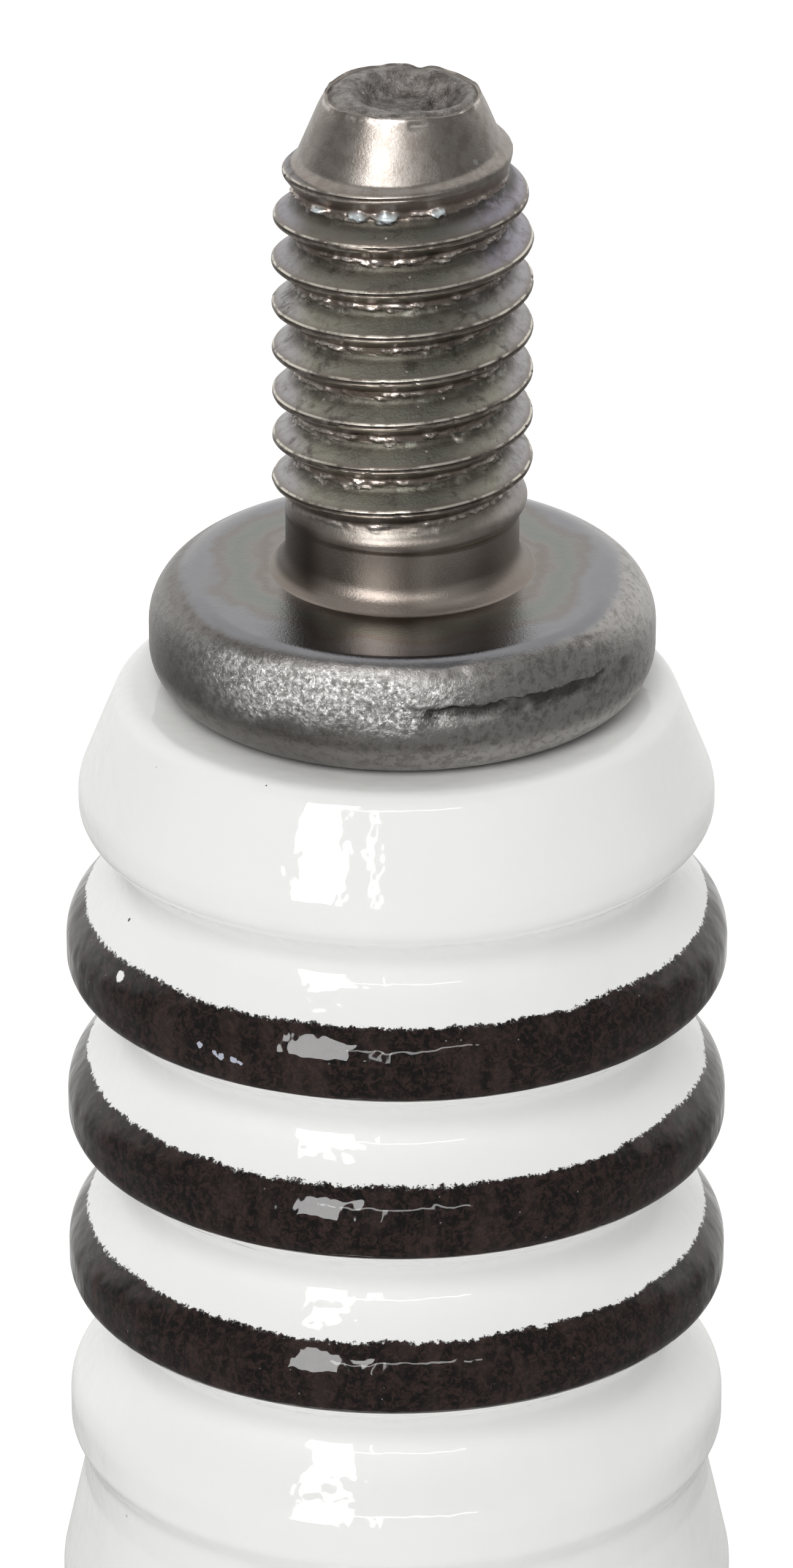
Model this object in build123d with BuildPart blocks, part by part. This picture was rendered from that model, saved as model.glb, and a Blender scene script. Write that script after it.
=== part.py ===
from build123d import *
from math import tan, radians
import os

# Spark plug with an M14 x 1.25 thread, a 16 mm hexagon and a bare M4 terminal stud.
# Millimetres. +Z runs along the plug towards the terminal. The origin is the centre
# of the shell's gasket seat, and every height below is measured from it.

# ---------------------------------------------------------------- terminal stud
stud_top = 50.5
stud_tip_radius = 1.15
stud_dish_radius = 0.9
stud_dish_depth = 0.28
stud_cone_radius = 1.6
stud_cone_height = 1.08
lead_in_height = 2.2
terminal_pitch = 0.7
terminal_crest_radius = 1.95
terminal_root_radius = 1.57
terminal_thread_length = 6.5
terminal_crest_offset = 2.304
terminal_whole_turns = 7
terminal_last_turn = 0.8
terminal_fade_height = 0.55
terminal_fade_inset = 0.05
neck_radius = 1.755
neck_fillet = 0.21
neck_top_step = 0.12
neck_top_drop = 0.1
flange_top = stud_top - 7.6
flange_radius = 3.82
flange_thickness = 1.93
flange_top_rounding = 0.88
flange_bottom_rounding = 0.73
shank_radius = 1.85
shank_bottom = 12.0
shank_chamfer = 0.4
shank_groove_depth = 0.18
shank_groove_half_width = 0.22
shank_groove_pitch = 0.8
shank_groove_count = 5

# -------------------------------------------------------------------- insulator
insulator_top = flange_top - flange_thickness
bore_radius = 2.0
small_bore_radius = 1.3
bore_seat_top = -3.3
shoulder_radius = 4.19
shoulder_rounding = 0.35
bulge_radius = 4.83
bulge_top = stud_top - 11.12
bulge_bottom = stud_top - 11.62
bulge_top_rounding = 0.8
bulge_bottom_rounding = 0.44
rib_count = 4
rib_pitch = 2.62
first_rib_height = stud_top - 13.8
first_rib_radius = 5.028
rib_radius_step = 0.017
rib_land_above = 0.364
rib_land_below = 0.315
rib_top_rounding = 0.72
rib_bottom_rounding = 0.32
rib_upper_angle = 38
rib_lower_angle = 53.6
groove_rounding = 0.5
last_groove_radius = 4.88
last_groove_height = stud_top - 22.93
last_groove_rounding = 0.5
last_flank_angle = 27
barrel_radius = 5.235
barrel_top = stud_top - 24.48
barrel_top_rounding = 1.0
barrel_bottom_gap = 0.3
clamped_radius = 4.95
big_end_radius = 6.25
big_end_top = 9.4
big_end_bottom = 0.6
lower_body_radius = 4.45
seat_top = -7.8
nose_root_radius = 3.8
nose_root_length = 1.2
nose_tip_radius = 2.35
nose_tip = -20.2
nose_rounding = 0.4

# ------------------------------------------------ conductors sealed in the bore
lower_seal_top = 3.2
resistor_top = 9.6
upper_seal_top = 17.0
electrode_radius = 1.25
electrode_head_radius = 1.75
electrode_head_height = 0.9
electrode_tip = -21.4
electrode_chamfer = 0.15
core_radius = 0.7
core_bottom = -17.5

# ------------------------------------------------------------------------ shell
shell_pitch = 1.25
shell_crest_radius = 6.98
shell_root_radius = 6.23
shell_bottom = -19.0
shell_end_chamfer = 0.9
shell_runout_chamfer = 0.95
shell_ridge_overrun = 0.6
shell_ridge_runout = 0.4
relief_radius = 6.1
relief_depth = 2.9
relief_rounding = 0.25
seat_collar_radius = 9.75
seat_collar_height = 3.9
seat_collar_slope = 0.35
seat_collar_rounding = 0.3
seat_collar_top_rounding = 0.45
waist_radius = 7.7
waist_top = 5.3
waist_rounding = 0.25
waist_overlap = 0.3
hex_across_flats = 16.0
hex_corner_radius = 9.0
hex_face_radius = 8.15
hex_top = 13.4
hex_bevel_height = 0.5
rim_radius = 7.3
rim_bend_radius = 1.0
rim_top = 15.3
rim_lip_radius = 5.5
rim_lip_thickness = 0.6
rim_overlap = 0.2
shell_bore_radius = 6.35
shell_bore_top = 14.0
shell_bore_gap = 0.05
shell_lower_bore_radius = 4.65
ledge_radius = 4.05
ledge_thickness = 1.6
mouth_radius = 4.9

# --------------------------------------- packings between shell and insulator
seat_slope = tan(radians(30))
seat_ring_thickness = 0.35
seat_ring_inner_radius = 4.05
wire_radius = 0.6
lower_wire_rise = 1.5
upper_wire_drop = 0.75

# ---------------------------------------------------------------- crush gasket
gasket_lip_radius = 6.75
gasket_fold_radius = 7.3
gasket_outer_radius = 9.6
gasket_height = 2.0
gasket_sheet = 0.38
gasket_drop = 0.7

# ------------------------------------------------------------- ground electrode
spark_gap = 0.9
strap_width = 2.6
strap_thickness = 1.3
strap_radius = 5.85
strap_reach = 0.9
strap_bend_radius = 1.8
strap_edge_radius = 0.3

# ------------------------------------------------------------------ thread form
# All four are shares of the pitch.
ridge_half_base = 0.46
ridge_half_crest = 0.16
ridge_sink = 0.08
ridge_crest_rise = 0.1

# A cutting profile reaches this far past the metal that it trims.
cut_margin = 0.1
# An edge that is only broken, not rounded.
broken_edge = 0.02

os.makedirs("parts", exist_ok=True)


def finish(piece, name):
    piece.part.label = name
    export_step(piece.part, f"parts/{name}.step")


def thread_ridge(pitch, root_radius, crest_radius, start, height):
    """A rounded right-hand thread ridge that starts on the +X side."""
    half_base = ridge_half_base * pitch
    half_crest = ridge_half_crest * pitch
    sunk_radius = root_radius - ridge_sink * pitch
    flank_radius = crest_radius - ridge_crest_rise * pitch
    with BuildPart(mode=Mode.PRIVATE) as ridge:
        with BuildLine() as path:
            Helix(pitch, height, root_radius, center=(0, 0, start))
        with BuildSketch(Plane.XZ):
            with BuildLine():
                Polyline(
                    (flank_radius, start - half_crest),
                    (sunk_radius, start - half_base),
                    (sunk_radius, start + half_base),
                    (flank_radius, start + half_crest),
                )
                ThreePointArc(
                    (flank_radius, start - half_crest),
                    (crest_radius, start),
                    (flank_radius, start + half_crest),
                )
            make_face()
        sweep(path=path.line, is_frenet=True)
    return ridge.part


# -------------------------------------------------------------- terminal stud
# The thread is rolled, so the plain neck below it is as thick as the thread's pitch
# diameter. Its ridge is trimmed by a cone at the tip and fades out at the neck.
terminal_thread_bottom = stud_top - terminal_thread_length
terminal_ridge_start = stud_top - terminal_crest_offset - terminal_whole_turns * terminal_pitch
terminal_ridge_height = (terminal_whole_turns + terminal_last_turn) * terminal_pitch
fade_top = terminal_thread_bottom + terminal_fade_height
cone_base = stud_top - stud_cone_height
dish_sphere_radius = (stud_dish_radius**2 + stud_dish_depth**2) / (2 * stud_dish_depth)

with BuildPart() as terminal_stud:
    with Locations((0, 0, terminal_thread_bottom)):
        Cylinder(terminal_root_radius, terminal_thread_length,
                 align=(Align.CENTER, Align.CENTER, Align.MIN))
    add(thread_ridge(
        terminal_pitch, terminal_root_radius, terminal_crest_radius,
        terminal_ridge_start, terminal_ridge_height,
    ))
    with BuildSketch(Plane.XZ):
        Polygon([
            (0, terminal_thread_bottom),
            (neck_radius - terminal_fade_inset, terminal_thread_bottom),
            (terminal_crest_radius + cut_margin, fade_top),
            (terminal_crest_radius + cut_margin, stud_top - lead_in_height),
            (stud_cone_radius, cone_base),
            (stud_tip_radius, stud_top),
            (0, stud_top),
        ], align=None)
    revolve(axis=Axis.Z, mode=Mode.INTERSECT)
    # neck, flange and the shank that goes down the bore
    with BuildSketch(Plane.XZ):
        with BuildLine():
            Polyline(
                (0, insulator_top),
                (0, fade_top),
                (neck_radius - neck_top_step, fade_top),
                (neck_radius, terminal_thread_bottom + neck_top_drop),
                (neck_radius, flange_top + neck_fillet),
            )
            RadiusArc(
                (neck_radius, flange_top + neck_fillet),
                (neck_radius + neck_fillet, flange_top),
                neck_fillet,
            )
            FilletPolyline(
                (neck_radius + neck_fillet, flange_top),
                (flange_radius, flange_top),
                (flange_radius, insulator_top),
                (0, insulator_top),
                radius=(flange_top_rounding, flange_bottom_rounding),
            )
        make_face()
    revolve(axis=Axis.Z)
    with Locations((0, 0, shank_bottom)):
        Cylinder(shank_radius, insulator_top - shank_bottom,
                 align=(Align.CENTER, Align.CENTER, Align.MIN))
    chamfer(terminal_stud.edges().sort_by(Axis.Z)[0], shank_chamfer)
    # grooves that key the lower end of the shank into the glass
    with BuildSketch(Plane.XZ):
        for turn in range(shank_groove_count):
            groove_height = shank_bottom + (turn + 1) * shank_groove_pitch
            Polygon([
                (shank_radius + cut_margin, groove_height - shank_groove_half_width),
                (shank_radius + cut_margin, groove_height + shank_groove_half_width),
                (shank_radius - shank_groove_depth, groove_height),
            ], align=None)
    revolve(axis=Axis.Z, mode=Mode.SUBTRACT)
    # shallow dish in the tip
    with Locations((0, 0, stud_top + dish_sphere_radius - stud_dish_depth)):
        Sphere(dish_sphere_radius, mode=Mode.SUBTRACT)
finish(terminal_stud, "terminal_stud")


# ------------------------------------------------------------------ insulator
# One fired ceramic body: rounded shoulder, four ribs, barrel, a big end that the
# shell clamps, a packing seat and a long nose round the centre electrode.
bore_seat_bottom = bore_seat_top - (bore_radius - small_bore_radius)
nose_top = seat_top - (lower_body_radius - nose_root_radius) * seat_slope
big_end_slope = big_end_radius - lower_body_radius
barrel_bottom = rim_top + barrel_bottom_gap

upper_flank = 1 / tan(radians(rib_upper_angle))
lower_flank = 1 / tan(radians(rib_lower_angle))

outline = [(bore_radius, insulator_top), (shoulder_radius, insulator_top),
           (bulge_radius, bulge_top), (bulge_radius, bulge_bottom)]
roundings = [shoulder_rounding, bulge_top_rounding, bulge_bottom_rounding]
above_radius = bulge_radius
above_height = bulge_bottom
for rib in range(rib_count):
    rib_radius = first_rib_radius + rib * rib_radius_step
    rib_height = first_rib_height - rib * rib_pitch
    upper_edge = rib_height + rib_land_above
    lower_edge = rib_height - rib_land_below
    # the groove's corner is where the flank above it meets the flank below it
    groove_radius = (
        upper_edge - above_height + upper_flank * rib_radius + lower_flank * above_radius
    ) / (upper_flank + lower_flank)
    groove_height = above_height - lower_flank * (above_radius - groove_radius)
    outline += [(groove_radius, groove_height),
                (rib_radius, upper_edge), (rib_radius, lower_edge)]
    roundings += [groove_rounding, rib_top_rounding, rib_bottom_rounding]
    above_radius = rib_radius
    above_height = lower_edge
last_groove_top = above_height - (above_radius - last_groove_radius) / tan(
    radians(last_flank_angle))
outline += [(last_groove_radius, last_groove_top), (last_groove_radius, last_groove_height),
            (barrel_radius, barrel_top), (barrel_radius, barrel_bottom)]
roundings += [last_groove_rounding, last_groove_rounding, barrel_top_rounding]

with BuildPart() as insulator:
    with BuildSketch(Plane.XZ):
        with BuildLine():
            FilletPolyline(*outline, radius=tuple(roundings))
            Polyline(
                (barrel_radius, barrel_bottom),
                (clamped_radius, rim_top),
                (clamped_radius, big_end_top + big_end_radius - clamped_radius),
                (big_end_radius, big_end_top),
                (big_end_radius, big_end_bottom),
                (lower_body_radius, big_end_bottom - big_end_slope),
                (lower_body_radius, seat_top),
                (nose_root_radius, nose_top),
                (nose_root_radius, nose_top - nose_root_length),
            )
            FilletPolyline(
                (nose_root_radius, nose_top - nose_root_length),
                (nose_tip_radius, nose_tip),
                (small_bore_radius, nose_tip),
                radius=(nose_rounding,),
            )
            Polyline(
                (small_bore_radius, nose_tip),
                (small_bore_radius, bore_seat_bottom),
                (bore_radius, bore_seat_top),
                (bore_radius, insulator_top),
            )
        make_face()
    revolve(axis=Axis.Z)
finish(insulator, "insulator")


# ---------------------------------------------------------- centre electrode
head_radius_step = electrode_head_radius - electrode_radius
head_bottom = bore_seat_bottom + (electrode_head_radius - small_bore_radius)
head_top = head_bottom + electrode_head_height

with BuildPart() as centre_electrode:
    with BuildSketch(Plane.XZ):
        Polygon([
            (core_radius, head_top),
            (electrode_head_radius, head_top),
            (electrode_head_radius, head_bottom),
            (electrode_radius, head_bottom - head_radius_step),
            (electrode_radius, electrode_tip + electrode_chamfer),
            (electrode_radius - electrode_chamfer, electrode_tip),
            (0, electrode_tip),
            (0, core_bottom),
            (core_radius, core_bottom + core_radius),
        ], align=None)
    revolve(axis=Axis.Z)
finish(centre_electrode, "centre_electrode")

with BuildPart() as centre_electrode_core:
    with BuildSketch(Plane.XZ):
        Polygon([
            (0, head_top),
            (core_radius, head_top),
            (core_radius, core_bottom + core_radius),
            (0, core_bottom),
        ], align=None)
    revolve(axis=Axis.Z)
finish(centre_electrode_core, "centre_electrode_core")


# --------------------------------------------- glass seals and the resistor
with BuildPart() as lower_glass_seal:
    with BuildSketch(Plane.XZ):
        Polygon([
            (0, head_top),
            (electrode_head_radius, head_top),
            (electrode_head_radius, head_bottom),
            (bore_radius, bore_seat_top),
            (bore_radius, lower_seal_top),
            (0, lower_seal_top),
        ], align=None)
    revolve(axis=Axis.Z)
finish(lower_glass_seal, "lower_glass_seal")

with BuildPart() as resistor_element:
    with BuildSketch(Plane.XZ):
        Polygon([
            (0, lower_seal_top),
            (bore_radius, lower_seal_top),
            (bore_radius, resistor_top),
            (0, resistor_top),
        ], align=None)
    revolve(axis=Axis.Z)
finish(resistor_element, "resistor_element")

with BuildPart() as upper_glass_seal:
    with BuildSketch(Plane.XZ):
        Polygon([
            (0, resistor_top),
            (bore_radius, resistor_top),
            (bore_radius, upper_seal_top),
            (0, upper_seal_top),
        ], align=None)
    revolve(axis=Axis.Z)
    add(terminal_stud.part, mode=Mode.SUBTRACT)
finish(upper_glass_seal, "upper_glass_seal")


# ---------------------------------------------------------------------- shell
# Steel body: rolled thread, relief neck for the gasket, seat collar, thin waist that
# is heat-shrunk to pull the packings tight, hexagon and a rim rolled over the rings.
ridge_start = shell_bottom - shell_ridge_overrun * shell_pitch
ridge_height = -relief_depth - ridge_start - shell_ridge_runout * shell_pitch
ledge_top = seat_top - seat_ring_thickness - (
    lower_body_radius - ledge_radius) * seat_slope
bore_step_top = big_end_bottom - shell_bore_gap
bore_step_bottom = bore_step_top - (shell_bore_radius - shell_lower_bore_radius)
mouth_top = ledge_top - ledge_thickness - (mouth_radius - ledge_radius)
rim_bend_height = rim_top - rim_bend_radius

with BuildPart() as shell:
    with Locations((0, 0, shell_bottom)):
        Cylinder(shell_root_radius, -relief_depth - shell_bottom,
                 align=(Align.CENTER, Align.CENTER, Align.MIN))
    add(thread_ridge(shell_pitch, shell_root_radius, shell_crest_radius,
                     ridge_start, ridge_height))
    # chamfer both ends of the thread
    with BuildSketch(Plane.XZ):
        Polygon([
            (0, shell_bottom),
            (shell_crest_radius - shell_end_chamfer, shell_bottom),
            (shell_crest_radius + cut_margin, shell_bottom + shell_end_chamfer + cut_margin),
            (shell_crest_radius + cut_margin, -relief_depth - shell_runout_chamfer),
            (relief_radius, -relief_depth),
            (0, -relief_depth),
        ], align=None)
    revolve(axis=Axis.Z, mode=Mode.INTERSECT)
    # hexagon, its corners turned down at both ends
    with BuildSketch(Plane.XY.offset(waist_top)):
        RegularPolygon(hex_across_flats / 2, 6, major_radius=False)
    extrude(amount=hex_top - waist_top)
    with BuildSketch(Plane.XZ):
        Polygon([
            (0, shell_bottom - cut_margin),
            (hex_face_radius, shell_bottom - cut_margin),
            (hex_face_radius, waist_top),
            (hex_corner_radius, waist_top + hex_bevel_height),
            (hex_corner_radius, hex_top - hex_bevel_height),
            (hex_face_radius, hex_top),
            (0, hex_top),
        ], align=None)
    revolve(axis=Axis.Z, mode=Mode.INTERSECT)
    # relief neck, seat collar and waist below the hexagon, rolled rim above it
    with BuildSketch(Plane.XZ):
        with BuildLine():
            FilletPolyline(
                (0, -relief_depth),
                (relief_radius, -relief_depth),
                (relief_radius, 0),
                (seat_collar_radius, 0),
                (seat_collar_radius, seat_collar_height),
                (waist_radius, seat_collar_height + seat_collar_slope),
                (waist_radius, waist_top + waist_overlap),
                (0, waist_top + waist_overlap),
                radius=(broken_edge, relief_rounding, seat_collar_rounding,
                        seat_collar_top_rounding, waist_rounding, broken_edge),
            )
            Line((0, waist_top + waist_overlap), (0, -relief_depth))
        make_face()
        with BuildLine():
            Polyline(
                (0, hex_top - rim_overlap),
                (rim_radius, hex_top - rim_overlap),
                (rim_radius, rim_bend_height),
            )
            RadiusArc((rim_radius, rim_bend_height),
                      (rim_radius - rim_bend_radius, rim_top), -rim_bend_radius)
            Polyline(
                (rim_radius - rim_bend_radius, rim_top),
                (0, rim_top),
                (0, hex_top - rim_overlap),
            )
        make_face()
    revolve(axis=Axis.Z)
    # stepped bore with the rolled lip at the top and the packing ledge lower down
    with BuildSketch(Plane.XZ):
        Polygon([
            (0, rim_top + cut_margin),
            (rim_lip_radius, rim_top + cut_margin),
            (rim_lip_radius, rim_top - rim_lip_thickness),
            (shell_bore_radius, shell_bore_top),
            (shell_bore_radius, bore_step_top),
            (shell_lower_bore_radius, bore_step_bottom),
            (shell_lower_bore_radius,
             ledge_top + (shell_lower_bore_radius - ledge_radius) * seat_slope),
            (ledge_radius, ledge_top),
            (ledge_radius, ledge_top - ledge_thickness),
            (mouth_radius, mouth_top),
            (mouth_radius, shell_bottom - cut_margin),
            (0, shell_bottom - cut_margin),
        ], align=None)
    revolve(axis=Axis.Z, mode=Mode.SUBTRACT)
finish(shell, "shell")


# ------------------------------------------- packings in the gap round the bore
with BuildPart() as seat_packing_ring:
    ring_width = lower_body_radius - seat_ring_inner_radius
    with BuildSketch(Plane.XZ):
        Polygon([
            (lower_body_radius, seat_top),
            (seat_ring_inner_radius, seat_top - ring_width * seat_slope),
            (seat_ring_inner_radius,
             seat_top - seat_ring_thickness - ring_width * seat_slope),
            (lower_body_radius, seat_top - seat_ring_thickness),
        ], align=None)
    revolve(axis=Axis.Z)
finish(seat_packing_ring, "seat_packing_ring")

wire_centre_radius = (clamped_radius + shell_bore_radius) / 2
lower_wire_height = big_end_top + lower_wire_rise
upper_wire_height = rim_bend_height - upper_wire_drop

with BuildPart() as lower_packing_ring:
    with BuildSketch(Plane.XZ):
        with Locations((wire_centre_radius, lower_wire_height)):
            Circle(wire_radius)
    revolve(axis=Axis.Z)
finish(lower_packing_ring, "lower_packing_ring")

with BuildPart() as upper_packing_ring:
    with BuildSketch(Plane.XZ):
        with Locations((wire_centre_radius, upper_wire_height)):
            Circle(wire_radius)
    revolve(axis=Axis.Z)
finish(upper_packing_ring, "upper_packing_ring")

with BuildPart() as talc_packing:
    with BuildSketch(Plane.XZ):
        Polygon([
            (clamped_radius, lower_wire_height),
            (shell_bore_radius, lower_wire_height),
            (shell_bore_radius, upper_wire_height),
            (clamped_radius, upper_wire_height),
        ], align=None)
    revolve(axis=Axis.Z)
    add(lower_packing_ring.part, mode=Mode.SUBTRACT)
    add(upper_packing_ring.part, mode=Mode.SUBTRACT)
finish(talc_packing, "talc_packing")


# --------------------------------------------------------------------- gasket
# A ring folded from sheet into three layers, with its lip under the first thread.
# It hangs at the bottom of its free travel.
half_sheet = gasket_sheet / 2
gasket_base = -gasket_drop - gasket_height
lower_layer = gasket_base + half_sheet
upper_layer = gasket_base + gasket_height - half_sheet
middle_layer = (lower_layer + upper_layer) / 2
fold_rise = (middle_layer - lower_layer) / 2

with BuildPart() as gasket:
    with BuildSketch(Plane.XZ):
        with BuildLine() as fold:
            Line((gasket_lip_radius, lower_layer),
                 (gasket_outer_radius - half_sheet - fold_rise, lower_layer))
            ThreePointArc(
                (gasket_outer_radius - half_sheet - fold_rise, lower_layer),
                (gasket_outer_radius - half_sheet, lower_layer + fold_rise),
                (gasket_outer_radius - half_sheet - fold_rise, middle_layer),
            )
            Line((gasket_outer_radius - half_sheet - fold_rise, middle_layer),
                 (gasket_fold_radius + half_sheet + fold_rise, middle_layer))
            ThreePointArc(
                (gasket_fold_radius + half_sheet + fold_rise, middle_layer),
                (gasket_fold_radius + half_sheet, middle_layer + fold_rise),
                (gasket_fold_radius + half_sheet + fold_rise, upper_layer),
            )
            Line((gasket_fold_radius + half_sheet + fold_rise, upper_layer),
                 (gasket_outer_radius - half_sheet, upper_layer))
        trace(line_width=gasket_sheet)
    revolve(axis=Axis.Z)
finish(gasket, "gasket")


# ----------------------------------------------------------- ground electrode
strap_top = electrode_tip - spark_gap
strap_middle = strap_top - strap_thickness / 2

with BuildPart() as ground_electrode:
    with BuildLine() as strap_path:
        FilletPolyline(
            (strap_radius, 0, shell_bottom),
            (strap_radius, 0, strap_middle),
            (-strap_reach, 0, strap_middle),
            radius=strap_bend_radius,
        )
    with BuildSketch(Plane.XY.offset(shell_bottom)):
        with Locations((strap_radius, 0)):
            RectangleRounded(strap_thickness, strap_width, strap_edge_radius)
    sweep(path=strap_path.line)
finish(ground_electrode, "ground_electrode")
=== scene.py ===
import math

import bpy
import numpy as np
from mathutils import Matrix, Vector


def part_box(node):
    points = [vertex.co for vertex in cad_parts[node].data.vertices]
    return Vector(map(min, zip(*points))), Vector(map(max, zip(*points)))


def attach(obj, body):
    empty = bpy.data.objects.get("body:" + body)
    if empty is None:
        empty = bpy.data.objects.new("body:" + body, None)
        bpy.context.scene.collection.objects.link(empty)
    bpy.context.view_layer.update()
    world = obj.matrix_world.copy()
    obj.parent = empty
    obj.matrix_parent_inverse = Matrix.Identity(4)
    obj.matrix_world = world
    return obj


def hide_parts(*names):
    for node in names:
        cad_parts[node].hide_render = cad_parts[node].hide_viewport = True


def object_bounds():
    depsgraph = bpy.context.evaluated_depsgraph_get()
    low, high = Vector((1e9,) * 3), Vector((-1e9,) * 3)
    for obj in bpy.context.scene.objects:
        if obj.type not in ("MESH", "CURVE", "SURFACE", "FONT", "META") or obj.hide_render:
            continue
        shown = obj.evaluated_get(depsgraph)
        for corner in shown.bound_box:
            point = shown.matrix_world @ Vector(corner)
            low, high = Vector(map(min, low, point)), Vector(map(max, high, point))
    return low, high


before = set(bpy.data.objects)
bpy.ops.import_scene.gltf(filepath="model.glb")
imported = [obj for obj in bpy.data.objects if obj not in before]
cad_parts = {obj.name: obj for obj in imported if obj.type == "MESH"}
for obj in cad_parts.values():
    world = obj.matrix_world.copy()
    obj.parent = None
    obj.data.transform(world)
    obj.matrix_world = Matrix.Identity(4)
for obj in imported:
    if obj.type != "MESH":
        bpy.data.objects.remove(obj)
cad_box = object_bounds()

# Lengths in this script are millimetres until a mesh, a lamp or the camera is made.
MM = 0.001
TURN = 2 * math.pi

# ------------------------------------------------------------------ dimensions
# Heights are in the row's frame: the origin is the gasket seat, +Z the terminal.
STUD_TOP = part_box("terminal_stud")[1][2] / MM
STUD_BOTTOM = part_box("terminal_stud")[0][2] / MM
INSULATOR_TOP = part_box("insulator")[1][2] / MM
NOSE_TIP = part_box("insulator")[0][2] / MM
FLOOR_HEIGHT = cad_box[0][2] / MM

TIP_RADIUS = 1.15
CONE_RADIUS = 1.6
CONE_HEIGHT = 1.08
THREAD_PITCH = 0.7
THREAD_BOTTOM = 6.55
ROOT_RADIUS = 1.57
CREST_OFFSET = 2.304
# depth of the crest under the top, and its radius there
CREST_GROWTH = (
    (0.0, 0.7, 0.9, 1.08, 1.25, 1.6, 1.95, 2.3), (1.1, 1.42, 1.63, 1.69, 1.79, 1.87, 1.93, 1.955))
# how far the edge of a rolled lip lies from the crest, as a part of the pitch
LIP_OFFSET = 0.068
# angle in degrees and size of the crumbs caught under the first turn
SWARF = ((-114, 0.085), (-99, 0.11), (-71, 0.085), (-138, 0.07))
# the stud stands this far right of the insulator's axis
STUD_OFFSET = 0.088
NECK_RADIUS = 1.755
COLLAR = 0.24
COLLAR_FLARE = 0.36
FLANGE_DEPTH = 7.6
FLANGE_RADIUS = 3.82
FLANGE_TOP_ROUNDING = 0.88
FLANGE_BOTTOM_ROUNDING = 0.73
SHANK_RADIUS = 1.85
SHANK_CHAMFER = 0.4
# radii between which the finish of the turned metal turns into that of the rim
RIM_FROM = (2.4, 2.9)
# a bright fleck on the cone
CONE_FLECK = (1.07, -1.0, STUD_TOP - 0.75)

BORE_RADIUS = 2.0
SMALL_BORE_RADIUS = 1.3
SHOULDER_TOP_RADIUS = 4.19
SHOULDER_RADIUS = 4.83
SHOULDER_BOTTOM = STUD_TOP - 11.62
LAST_GROOVE_RADIUS = 4.88
CLAMPED_RADIUS = 4.95
BIG_END_RADIUS = 6.25
NOSE_RADIUS = 4.45
SEAT_RADIUS = 3.8
NOSE_TIP_RADIUS = 2.35
RIB_COUNT = 4
RIB_PITCH = 2.62
FIRST_RIB = STUD_TOP - 13.8
# a crown is straight from this far above its middle to this far below it
CROWN_ABOVE = 0.364
CROWN_BELOW = 0.315
CROWN_RADIUS = 5.028
CROWN_GROWTH = 0.017
UPPER_FLANK_ANGLE = 38
LOWER_FLANK_ANGLE = 53.6
LAST_FLANK_ANGLE = 27
BAND_COUNT = 3
BAND_ABOVE = 0.73
BAND_BELOW = 0.36
BARREL_RADIUS = 5.235
BARREL_BOTTOM = 15.6
# marks in the glaze: how far right of the middle, and how far under the stud's top
CHIP = (-4.14, 13.24)
PIN_HOLES = ((-4.03, 12.66, 0.035), (-1.92, 9.58, 0.018))
SCRATCHES = ((-2.7, 13.68), (-2.6, 13.71), (-2.42, 13.73), (-2.32, 13.76))
SCRAPE = (-2.92, 13.63)

# Light, as radiance where white paper in full light is about 1.
WINDOW = 8.5
KEY = 6.9
TENT_WALL = 0.95
TENT_OPENING = 0.26
TENT_EDGE = (0.3, 0.8)
TENT_ROOF = 0.72
FLOOR_WHITE = 0.6
FLOOR_GLOW = 0.35
FLOOR_HALF = 3.0
# where the lamps point, in metres, and how far away they stand
LAMP_TARGET = (0, 0, 0.037)
LAMP_DISTANCE = 0.6

# The camera stands in front of the stud and well above it.
CAMERA_LENS = 225
CAMERA_SENSOR = 36
CAMERA_BACK = 135.2
CAMERA_ABOVE_STUD = 51.03
CAMERA_TILT = 24.73

# black of dirt, and of painted shade in the thread's roots
BLACK_DIRT_AND_SHADE = (0.05, 0.042, 0.035)


# ---------------------------------------------------------------- mesh helpers


def rounded(corners, step=0.05):
    """Samples an outline of (radius, height, rounding) corners, each rounded to an arc."""
    points = [np.array(corners[0][:2], float)]
    for before, here, after in zip(corners, corners[1:], corners[2:]):
        corner = np.array(here[:2], float)
        if here[2] == 0:
            points.append(corner)
            continue
        back = np.array(before[:2], float) - corner
        ahead = np.array(after[:2], float) - corner
        back /= np.linalg.norm(back)
        ahead /= np.linalg.norm(ahead)
        half = math.acos(np.clip(back @ ahead, -1, 1)) / 2
        reach = here[2] / math.tan(half)
        centre = corner + (back + ahead) / np.linalg.norm(back + ahead) * here[2] / math.sin(half)
        start = corner + back * reach - centre
        end = corner + ahead * reach - centre
        first = math.atan2(start[1], start[0])
        sweep = (math.atan2(end[1], end[0]) - first + math.pi) % TURN - math.pi
        count = max(3, int(abs(sweep) * here[2] / step) + 2)
        for part in np.linspace(0, 1, count):
            angle = first + sweep * part
            points.append(centre + here[2] * np.array([math.cos(angle), math.sin(angle)]))
    points.append(np.array(corners[-1][:2], float))
    return np.array(points)


def resample(points, step):
    """Adds points along straight stretches so that none is longer than step."""
    out = [points[0]]
    for here, there in zip(points, points[1:]):
        length = np.linalg.norm(there - here)
        if length < 1e-6:
            continue
        count = max(1, int(math.ceil(length / step)))
        for k in range(1, count + 1):
            out.append(here + (there - here) * k / count)
    return np.array(out)


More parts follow.
